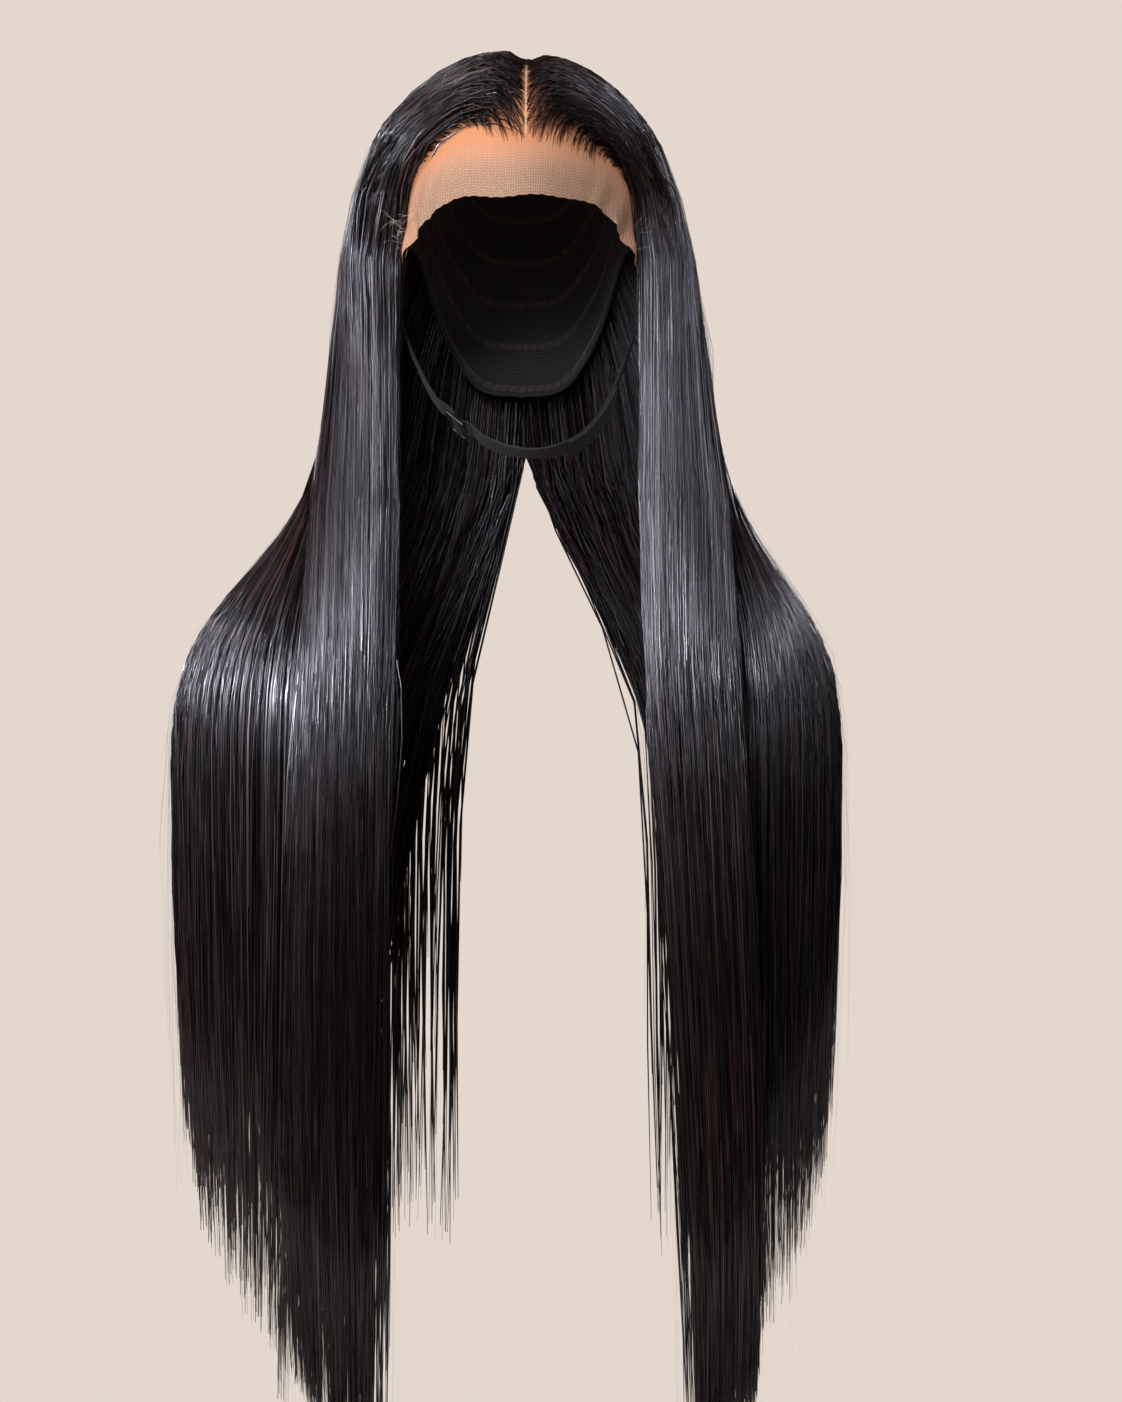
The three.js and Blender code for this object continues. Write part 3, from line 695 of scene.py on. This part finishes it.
def tubeArrays(paths, radius, tone, sideWay, rolled, rng, reach=1.0):
    # each path becomes a closed three-sided strand; returns points, faces as loops and the strand map
    count, points = paths.shape[:2]
    radius = np.broadcast_to(radius, (count, points))
    sideWay = np.broadcast_to(sideWay, (count, 3))[:, None, :]
    rolled = np.broadcast_to(rolled, count)
    along = unit(np.gradient(paths, axis=1))
    across = unit(sideWay - along * (along * sideWay).sum(-1, keepdims=True))
    out = np.cross(along, across)
    cosine, sine = np.cos(rolled)[:, None, None], np.sin(rolled)[:, None, None]
    across, out = across * cosine + out * sine, out * cosine - across * sine
    flip = rng.choice([0.0, math.pi], (count, 1))
    ring = []
    for k in range(3):
        angle = flip + 2 * math.pi * k / 3 + math.pi / 2
        offset = across * (np.cos(angle) * strandSize["wide"])[..., None]
        offset = offset + out * (np.sin(angle) * strandSize["flat"])[..., None]
        ring.append(paths + offset * radius[..., None])
    vertices = np.stack(ring, 2).reshape(-1, 3)
    step = np.arange(points - 1)
    k = np.arange(3)
    a = (step[:, None] * 3 + k[None, :]).ravel()
    b = (step[:, None] * 3 + (k[None, :] + 1) % 3).ravel()
    quads = np.stack([a, b, b + 3, a + 3], -1)
    base = np.arange(count) * points * 3
    quads = (base[:, None, None] + quads[None]).reshape(-1)
    last = (points - 1) * 3
    caps = np.array([[2, 1, 0], [last, last + 1, last + 2]])
    caps = (base[:, None, None] + caps[None]).reshape(-1)
    place = np.linspace(0, reach, points)[None, :, None] + np.zeros((1, 1, 3))
    strandMap = np.stack(np.broadcast_arrays(tone[:, None, None], place), -1)
    return vertices, quads, caps, strandMap.reshape(-1, 2)


def joinStrands(name, groups):
    # one mesh from all groups of strands of a piece
    vertices, quads, caps, maps = zip(*groups)
    firsts = np.cumsum([0] + [len(points) for points in vertices])
    vertices, maps = np.concatenate(vertices), np.concatenate(maps)
    quads, caps = (np.concatenate([f + first for f, first in zip(faces, firsts)]) for faces in (quads, caps))
    loops = np.concatenate([quads, caps])
    mesh = bpy.data.meshes.new(name)
    mesh.vertices.add(len(vertices))
    mesh.vertices.foreach_set("co", vertices.astype(np.float32).ravel())
    mesh.loops.add(len(loops))
    mesh.loops.foreach_set("vertex_index", loops.astype(np.int32))
    sizes = np.concatenate([np.full(len(quads) // 4, 4), np.full(len(caps) // 3, 3)])
    starts = np.concatenate([[0], np.cumsum(sizes)[:-1]])
    mesh.polygons.add(len(sizes))
    mesh.polygons.foreach_set("loop_start", starts.astype(np.int32))
    mesh.polygons.foreach_set("loop_total", sizes.astype(np.int32))
    mesh.polygons.foreach_set("use_smooth", np.ones(len(sizes), bool))
    layer = mesh.uv_layers.new(name="strand")
    layer.uv.foreach_set("vector", maps[loops].astype(np.float32).ravel())
    mesh.update()
    mesh.validate()
    piece = bpy.data.objects.new(name, mesh)
    bpy.context.collection.objects.link(piece)
    return piece


def sideWays(curtain, side, u):
    # direction across each strand, square to its way over the head
    return unit(np.cross(*rootAndEar(curtain, side, u)))


def growCurtain(name, sideName, seed):
    curtain, side = curtains[name], sides[sideName]
    rng = np.random.default_rng(seed)
    paths, u, fromHairline = combedStrands(curtain, side, rng)
    t = np.linspace(0, 1, paths.shape[1])[None, :]
    radius = strandSize["radius"] * rng.uniform(0.65, 1.35, len(u))[:, None]
    fullFrom = np.where(fromHairline, 0.3, 0.24)[:, None]
    radius = radius * mixed(strandSize["root"], 1, smooth(t, 0, fullFrom))
    radius = radius * mixed(1, strandSize["tip"], smooth(t, 0.92, 1))
    across = sideWays(curtain, side, u)
    rolled = np.radians(rng.normal(0, strandSize["roll"], len(u)))
    middle = paths.shape[1] * 2 // 3
    outward = np.cross(paths[:, middle + 1] - paths[:, middle - 1], across)[:, 1] < 0
    rollWay = np.where((across[:, 0] * -side["sign"] > 0) == outward, -1, 1)
    turn = mixed(*side["turn"], smooth(u, 0.1, 0.8)) if curtain["arch"] else side["restTurn"] + 0 * u
    rolled = rolled + rollWay * np.radians(mixed(turn, side["edgeTurn"], edgeTuck(curtain, u)))
    groups = [tubeArrays(paths, radius, rng.random(len(u)), across, rolled, rng)]
    paths, u = strayStrands(curtain, side, rng)
    radius = strandSize["stray"] * mixed(1, 0.3, t)
    groups.append(tubeArrays(paths, radius, rng.random(len(u)), sideWays(curtain, side, u), 0.0, rng))
    if curtain["arch"]:
        paths = fineStrands(curtain, side, rng)
        t = np.linspace(0, 1, paths.shape[1])[None, :]
        radius = rng.uniform(*strandSize["fine"], len(paths))[:, None] * mixed(0.4, 1, smooth(t, 0, 0.5))
        radius = radius * mixed(1, 0.4, smooth(t, 0.7, 1))
        tone = 0.6 * rng.random(len(paths))
        groups.append(tubeArrays(paths, radius, tone, (0.1, 0.7, 0.7), 0.0, rng, reach=0.08))
    piece = joinStrands(name + sideName, groups)
    dress(piece, hair, curtain["node"] + "_" + side["node"])
    return piece


for number, name in enumerate(curtains):
    for sideNumber, sideName in enumerate(sides):
        piece = growCurtain(name, sideName, 100 + 10 * number + sideNumber)
        print(piece.name, "grown,", len(piece.data.loops) - 2 * len(piece.data.polygons), "triangles")


# Lace and cap: a grid laid over the head from the crown to its edge, then thickened.

laceEdge = {
    "azimuth": (0, 24, 40, 52, 62, 72, 91),
    "rim": (-0.088, -0.088, -0.095, -0.110, -0.121, -0.121, -0.124),  # height of the cut edge at each azimuth
    "from": -91.5, "to": 91.5, "steps": (110, 46), "thick": 0.00035,
    "arc": 1.6, "drop": 0.15,  # the way down from the crown, in radians and in metres
    "snips": (0.0008, 0.0003), "lift": (0.0013, 0.0009), "pucker": (0.0016, 0.0007), "corner": 0.0045,
}
capEdge = {
    "azimuth": (92, 101, 110, 124, 138, 155, 180),
    "rim": (-0.126, -0.124, -0.106, -0.106, -0.150, -0.181, -0.187),
    "from": 91.9, "to": 268.1, "steps": (72, 36), "thick": 0.0011,
    "arc": 1.9, "drop": 0.18, "lift": 0.0001, "hem": 0.0004, "behindLace": 0.4,  # degrees
}
fray = {"count": 24, "onLeft": 19, "points": 14, "lift": 0.0035, "length": (0.006, 0.015), "radius": 0.00008}


def gridPiece(name, steps):
    deselectAll()
    bpy.ops.mesh.primitive_grid_add(x_subdivisions=steps[0], y_subdivisions=steps[1], size=2)
    piece = bpy.context.object
    piece.name = piece.data.name = name
    flat = np.empty(len(piece.data.vertices) * 3)
    piece.data.vertices.foreach_get("co", flat)
    return piece, flat.reshape(-1, 3)


def layGrid(piece, points, mapName, mapPlaces):
    piece.data.vertices.foreach_set("co", points.ravel())
    layer = piece.data.uv_layers.active or piece.data.uv_layers.new()
    layer.name = mapName
    corners = np.empty(len(piece.data.loops), np.int32)
    piece.data.loops.foreach_get("vertex_index", corners)
    layer.uv.foreach_set("vector", mapPlaces[corners].astype(np.float32).ravel())
    piece.data.update()


def thicken(piece, thick):
    deselectAll()
    piece.select_set(True)
    bpy.context.view_layer.objects.active = piece
    wall = piece.modifiers.new("wall", "SOLIDIFY")
    wall.thickness, wall.offset = thick, 1
    bpy.ops.object.modifier_apply(modifier=wall.name)
    bpy.ops.object.shade_smooth_by_angle(angle=math.radians(50))


def crownGrid(name, edge):
    # a grid from the crown down to an edge: the azimuth and the share of the way down of each point
    piece, flat = gridPiece(name, edge["steps"])
    azimuth = mixed(edge["from"], edge["to"], (flat[:, 0] + 1) / 2)
    return piece, azimuth, mixed(head["poleGap"], 1.0, (flat[:, 1] + 1) / 2)


def netPlaces(edge, azimuth, share):
    around = np.radians(azimuth) * head["girth"] * np.sin(share * edge["arc"])
    return np.stack([around, share * edge["drop"]], -1)


def fromCrown(tilt, azimuth, z, share):
    # share of the way from the crown, tilted back, to a point of the edge
    tilt = math.radians(tilt)
    pole = np.broadcast_to([0, math.sin(tilt), math.cos(tilt)], (len(azimuth), 3))
    return slerp(pole, wayAt(azimuth, z), share)


def makeLace():
    piece, azimuth, share = crownGrid("laceFront", laceEdge)
    aside = np.abs(azimuth)
    rim = curveAt(laceEdge["azimuth"], laceEdge["rim"], aside)
    wide, fine = laceEdge["snips"]
    snips = wide * np.sin(azimuth * 0.21 + 0.4) + fine * np.sin(azimuth * 1.3 + 1)
    loose = 1 - smooth(aside, 50, 60)
    even, wave = laceEdge["lift"]
    lift = smooth(share, 0.78, 1) * loose * (even + wave * np.sin(azimuth * 0.14 + 0.8))
    wide, fine = laceEdge["pucker"]
    pucker = wide * np.sin(azimuth * 0.62 + share * 24) + fine * np.sin(azimuth * 1.7 - share * 31)
    lift = lift + smooth(share, 0.8, 1) * smooth(aside, 26, 44) * loose * pucker
    lift = lift + laceEdge["corner"] * smooth(share, 0.9, 1) * np.exp(-(((aside - 57) / 4) ** 2))
    way = fromCrown(head["crownTilt"], azimuth, rim + snips, share)
    points = onHead(way, (seat["lace"] * 0.4 + lift)[:, None])
    layGrid(piece, points, "net", netPlaces(laceEdge, azimuth, share))
    held = mixed(1 - smooth(share, 0.76, 0.95), 1, smooth(aside, 46, 64))
    hold = piece.data.attributes.new("hold", "FLOAT", "POINT")
    hold.data.foreach_set("value", held.astype(np.float32))
    thicken(piece, laceEdge["thick"])
    dress(piece, lace, "lace_front")
    return piece


def makeCap():
    piece, azimuth, share = crownGrid("wigCap", capEdge)
    rim = curveAt(capEdge["azimuth"], capEdge["rim"], np.where(azimuth > 180, 360 - azimuth, azimuth))
    way = fromCrown(head["crownTilt"] + capEdge["behindLace"], azimuth, rim, share)
    hem = capEdge["hem"] * smooth(share, 0.955, 0.965)
    points = onHead(way, (capEdge["lift"] - hem)[:, None])
    layGrid(piece, points, "net", netPlaces(capEdge, azimuth, share))
    thicken(piece, capEdge["thick"])
    dress(piece, capNet, "wig_cap")
    return piece


def frayedThreads():
    # loose net threads at the two temple corners of the cut edge
    rng = np.random.default_rng(31)
    count, t = fray["count"], np.linspace(0, 1, fray["points"])[None, :, None]
    onLeft = np.arange(count) < fray["onLeft"]
    azimuth = np.where(onLeft, rng.uniform(-61, -51, count), rng.uniform(52, 60, count))
    low = curveAt(laceEdge["azimuth"], laceEdge["rim"], np.abs(azimuth)) + rng.uniform(-0.001, 0.022, count)
    start = onHead(wayAt(azimuth, low), np.full((count, 1), fray["lift"]))[:, None]
    outward = np.sign(azimuth) * rng.uniform(0.3, 1, count)
    aim = np.stack([outward, rng.uniform(-1.1, -0.5, count), rng.uniform(-0.5, 0.6, count)], -1)
    aim = unit(aim)[:, None] * rng.uniform(*fray["length"], (count, 1, 1))
    phase = rng.uniform(0, 2 * math.pi, (count, 1, 3))
    curl = rng.uniform(0.0012, 0.0032, (count, 1, 3))
    curl = curl * (np.sin(rng.uniform(3, 8, (count, 1, 3)) * t + phase) - np.sin(phase))
    radius = fray["radius"] * mixed(1, 0.6, t[..., 0])
    threads = tubeArrays(start + aim * t + curl, radius, rng.random(count), (0.3, 0.2, 0.9), 0.0, rng)
    piece = joinStrands("laceThreads", [threads])
    dress(piece, threadFibre)
    return piece


def sheetArea(piece):
    return sum(face.area for face in piece.data.polygons) / 2


laceFront = makeLace()
wigCap = makeCap()
laceThreads = frayedThreads()
areas = [round(sheetArea(piece), 4) for piece in (laceFront, wigCap)]
print("lace and cap laid,", areas, "square metres")


# Chin band: a woven strip along its path, its slider and its doubled end.

bandPath = [  # x, y and z of its middle, and how far its width leans, in degrees
    (-0.0730, 0.007, -0.100, 0), (-0.0728, 0.004, -0.118, 0), (-0.0700, -0.010, -0.147, 4),
    (-0.0625, -0.031, -0.172, 10), (-0.0470, -0.052, -0.202, 15), (-0.0280, -0.066, -0.220, 20),
    (-0.0050, -0.073, -0.2305, 18), (0.0120, -0.074, -0.232, 18), (0.0320, -0.068, -0.226, 27),
    (0.0470, -0.056, -0.211, 32), (0.0620, -0.032, -0.176, 12), (0.0700, -0.010, -0.147, 4),
    (0.0728, 0.004, -0.118, 0), (0.0730, 0.007, -0.100, 0),
]
band = {
    "from": 0.0, "to": 1.0, "width": 0.014, "steps": (260, 6),
    "thick": 0.0013, "crown": 0.00018, "gap": 0.00035,
    "sliderAt": 0.383, "hump": 0.0021, "humpTo": 0.0067, "dip": (0.0085, 0.020),
}
fold = {"from": 0.568, "to": 0.7, "width": 0.0155, "steps": (40, 6)}
slider = {"across": 0.0194, "along": 0.015, "thick": 0.0016, "bar": 0.0021, "round": 0.0005}
stitch = {
    "fromEnd": (0.012, 0.03), "apart": 0.0015, "half": 0.0005, "arch": 0.00022, "sunk": 0.00006,
    "radius": 0.0002, "tail": 0.00013,
}


def bandCurve():
    # centripetal curve through the path's points, by length: points, leans and lengths
    knots = np.array(bandPath, float)
    ends = np.vstack([2 * knots[0] - knots[1], knots, 2 * knots[-1] - knots[-2]])
    fine = []
    for i in range(len(knots) - 1):
        p = ends[i : i + 4]
        t = np.concatenate([[0], np.cumsum(np.sqrt(np.linalg.norm(np.diff(p[:, :3], axis=0), axis=1)))])
        at = np.linspace(t[1], t[2], 60, endpoint=i == len(knots) - 2)[:, None]
        for spans in (((0, 1), (1, 2), (2, 3)), ((0, 2), (1, 3)), ((1, 2),)):
            p = [mixed(p[k], p[k + 1], (at - t[a]) / (t[b] - t[a])) for k, (a, b) in enumerate(spans)]
        fine.append(p[0])
    fine = np.vstack(fine)
    lengths = np.concatenate([[0], np.cumsum(np.linalg.norm(np.diff(fine[:, :3], axis=0), axis=1))])
    return fine, lengths


bandFine, bandLengths = bandCurve()
bandLength = bandLengths[-1]


def bandFrame(share):
    # middle, run, width and outward direction of the band at each share of its length
    at = np.atleast_1d(share) * bandLength
    near = 0.001
    behind, middle, ahead = (
        np.stack([np.interp(at + shift, bandLengths, bandFine[:, k]) for k in range(3)], -1)
        for shift in (-near, 0, near)
    )
    lean = np.radians(np.interp(at, bandLengths, bandFine[:, 3]))
    run = unit(ahead - behind)
    width = np.stack([0 * lean, np.cos(lean), -np.sin(lean)], -1)
    width = unit(width - run * (width * run).sum(-1, keepdims=True))
    return middle, run, width, unit(np.cross(width, run))


def bandWeave(share):
    # under the slider's end bars, over its middle bar
    s = np.abs(share - band["sliderAt"]) * bandLength
    over = band["hump"] * np.cos(math.pi * s / band["humpTo"])
    return np.where(s < band["humpTo"], over, -band["hump"] * (1 - smooth(s, *band["dip"])))


def makeStrip(name, node, shape, lift):
    piece, flat = gridPiece(name, shape["steps"])
    share = mixed(shape["from"], shape["to"], (flat[:, 0] + 1) / 2)
    middle, _, width, out = bandFrame(share)
    aside = flat[:, 1] * shape["width"] / 2
    rise = lift(share) + band["crown"] * (1 - flat[:, 1] ** 6)
    points = middle + width * aside[:, None] + out * rise[:, None]
    layGrid(piece, points, "band", np.stack([share * bandLength, aside], -1))
    thicken(piece, band["thick"] - band["crown"])
    dress(piece, elastic, node)


def makeSlider():
    # a plate with two slots: a grid on the bars' lines, slots deleted, thickened and rounded
    piece, flat = gridPiece("bandSlider", (3, 5))
    x, y, bar = slider["across"] / 2, slider["along"] / 2, slider["bar"]
    lineX = np.array([-x, -x + bar, x - bar, x])
    lineY = np.array([-y, -y + bar, -bar / 2, bar / 2, y - bar, y])
    column = np.rint((flat[:, 0] + 1) / 2 * 3).astype(int)
    row = np.rint((flat[:, 1] + 1) / 2 * 5).astype(int)
    local = np.stack([lineX[column], lineY[row], 0 * flat[:, 0] - slider["thick"] / 2], -1)
    piece.data.vertices.foreach_set("co", local.ravel())
    piece.data.update()
    bpy.ops.object.mode_set(mode="EDIT")
    bpy.ops.mesh.select_mode(type="FACE")
    bpy.ops.mesh.select_all(action="DESELECT")
    bpy.ops.object.mode_set(mode="OBJECT")
    for face in piece.data.polygons:
        face.select = abs(face.center.x) < x - bar and bar / 2 < abs(face.center.y) < y - bar
    bpy.ops.object.mode_set(mode="EDIT")
    bpy.ops.mesh.delete(type="FACE")
    bpy.ops.object.mode_set(mode="OBJECT")
    thicken(piece, slider["thick"])
    rounding = piece.modifiers.new("rounding", "BEVEL")
    rounding.width, rounding.segments, rounding.limit_method = slider["round"], 3, "ANGLE"
    bpy.ops.object.modifier_apply(modifier=rounding.name)
    middle, run, width, out = (v[0] for v in bandFrame(band["sliderAt"]))
    turn = Matrix((width, run, out)).transposed().to_4x4()
    piece.data.transform(Matrix.Translation(Vector(middle)) @ turn)
    piece.data.update()
    dress(piece, nylon, "band_slider")


def bandStitches():
    # two rows of stitches at each end of the doubled part, and the tail of thread left on it
    rng = np.random.default_rng(41)
    step, paths = np.linspace(-1, 1, 6), []
    rise = band["thick"] * 1.5 + band["gap"] + stitch["arch"] * (1 - step**2) - stitch["sunk"]
    outer, inner = stitch["fromEnd"]
    for row in (fold["from"] + outer, fold["from"] + inner, fold["to"] - inner, fold["to"] - outer):
        middle, run, width, out = (v[0] for v in bandFrame(row))
        for k in range(-4, 5):
            at = middle + width * (k * stitch["apart"]) + run * rng.normal(0, 0.0001)
            paths.append(at + width * (step * stitch["half"])[:, None] + out * rise[:, None])
    tone = rng.random(len(paths))
    groups = [tubeArrays(np.array(paths), stitch["radius"], tone, (0.2, 0.3, 0.9), 0.0, rng)]
    t = np.linspace(0, 1, 12)[:, None]  # the tail leaves from the last row
    tail = middle + out * (0.0024 + 0.004 * np.sin(2.4 * t)) + width * (0.006 + 0.009 * t)
    tail = tail + run * (0.004 * np.sin(5 * t))
    groups.append(tubeArrays(tail[None], stitch["tail"], np.array([0.5]), (0.9, 0.1, 0.1), 0.0, rng))
    piece = joinStrands("foldStitches", groups)
    dress(piece, blackThread)


halfThick = band["thick"] / 2
makeStrip("elasticBand", "elastic_band", band, lambda share: bandWeave(share) - halfThick)
makeStrip("bandFold", "band_fold", fold, lambda share: halfThick + band["gap"] + 0 * share)
makeSlider()
bandStitches()
print("chin band made, length", round(bandLength, 3), "m")


# Stage: a pale floor that fades into a plain backdrop, and soft studio light.

stage = {
    "floor": -1.25, "radius": 3.2, "backdrop": "#e4d8ce", "room": "#fff4ea", "ambient": 0.04,
    "lightsAim": (0, 0, -0.25),
}
lights = {
    "keyLeft": dict(place=(-0.6, -2.1, 0.7), size=(0.4, 0.3), power=29, colour="#f4f6ff"),
    "keyHigh": dict(place=(1.3, -1.6, 1.4), size=(0.5, 0.6), power=12, colour="#f4f6ff"),
    "keyLow": dict(place=(-0.2, -2.4, 0.12), size=(0.4, 0.3), power=3, colour="#f4f6ff"),
    "sideLeft": dict(place=(-1.9, -1.2, 0.32), size=(1.2, 0.08), power=44, colour="#f4f6ff"),
    "sideRight": dict(place=(1.95, -1.2, 1.05), size=(1.2, 0.08), power=4, colour="#f4f6ff"),
    "overhead": dict(place=(-0.9, 0.7, 2.2), size=(1.4, 1.4), power=14, colour="#fff6ee"),
    "backLeft": dict(place=(-1.1, 2.3, 0.4), size=(0.6, 1.0), power=18, colour="#f7f6ff"),
    "backRight": dict(place=(1.1, 2.3, 0.4), size=(0.6, 1.0), power=18, colour="#f7f6ff"),
}


def makeFloor():
    deselectAll()
    bpy.ops.mesh.primitive_circle_add(vertices=96, radius=stage["radius"], fill_type="NGON")
    floor = bpy.context.object
    floor.name = "paleFloor"
    floor.data.transform(Matrix.Translation((0, 0, stage["floor"])))
    floor.data.materials.append(paper)


def makeLights():
    target = Vector(stage["lightsAim"])
    for name, light in lights.items():
        deselectAll()
        bpy.ops.object.light_add(type="AREA", location=light["place"])
        lamp = bpy.context.object
        lamp.name = name
        lamp.data.shape = "RECTANGLE"
        lamp.data.size, lamp.data.size_y = light["size"]
        lamp.data.energy = light["power"]
        lamp.data.color = linearColour(light["colour"])[:3]
        lamp.rotation_euler = (target - Vector(light["place"])).to_track_quat("-Z", "Y").to_euler()
        lamp.visible_camera = False
    world = bpy.data.worlds.new("studio")
    bpy.context.scene.world = world
    world.use_nodes = True
    tree = world.node_tree
    room = tree.nodes["Background"]
    setInputs(room, {"Color": linearColour(stage["room"]), "Strength": stage["ambient"]})
    backdrop = addNode(tree, "Background", {"Color": linearColour(stage["backdrop"])})
    ray = addNode(tree, "LightPath")
    both = addNode(tree, "MixShader", {"Fac": ray.outputs["Is Camera Ray"], 1: room, 2: backdrop})
    setInputs(tree.nodes["World Output"], {"Surface": both})
    bpy.context.scene.view_settings.view_transform = "Standard"


makeFloor()
makeLights()
print("stage lit")
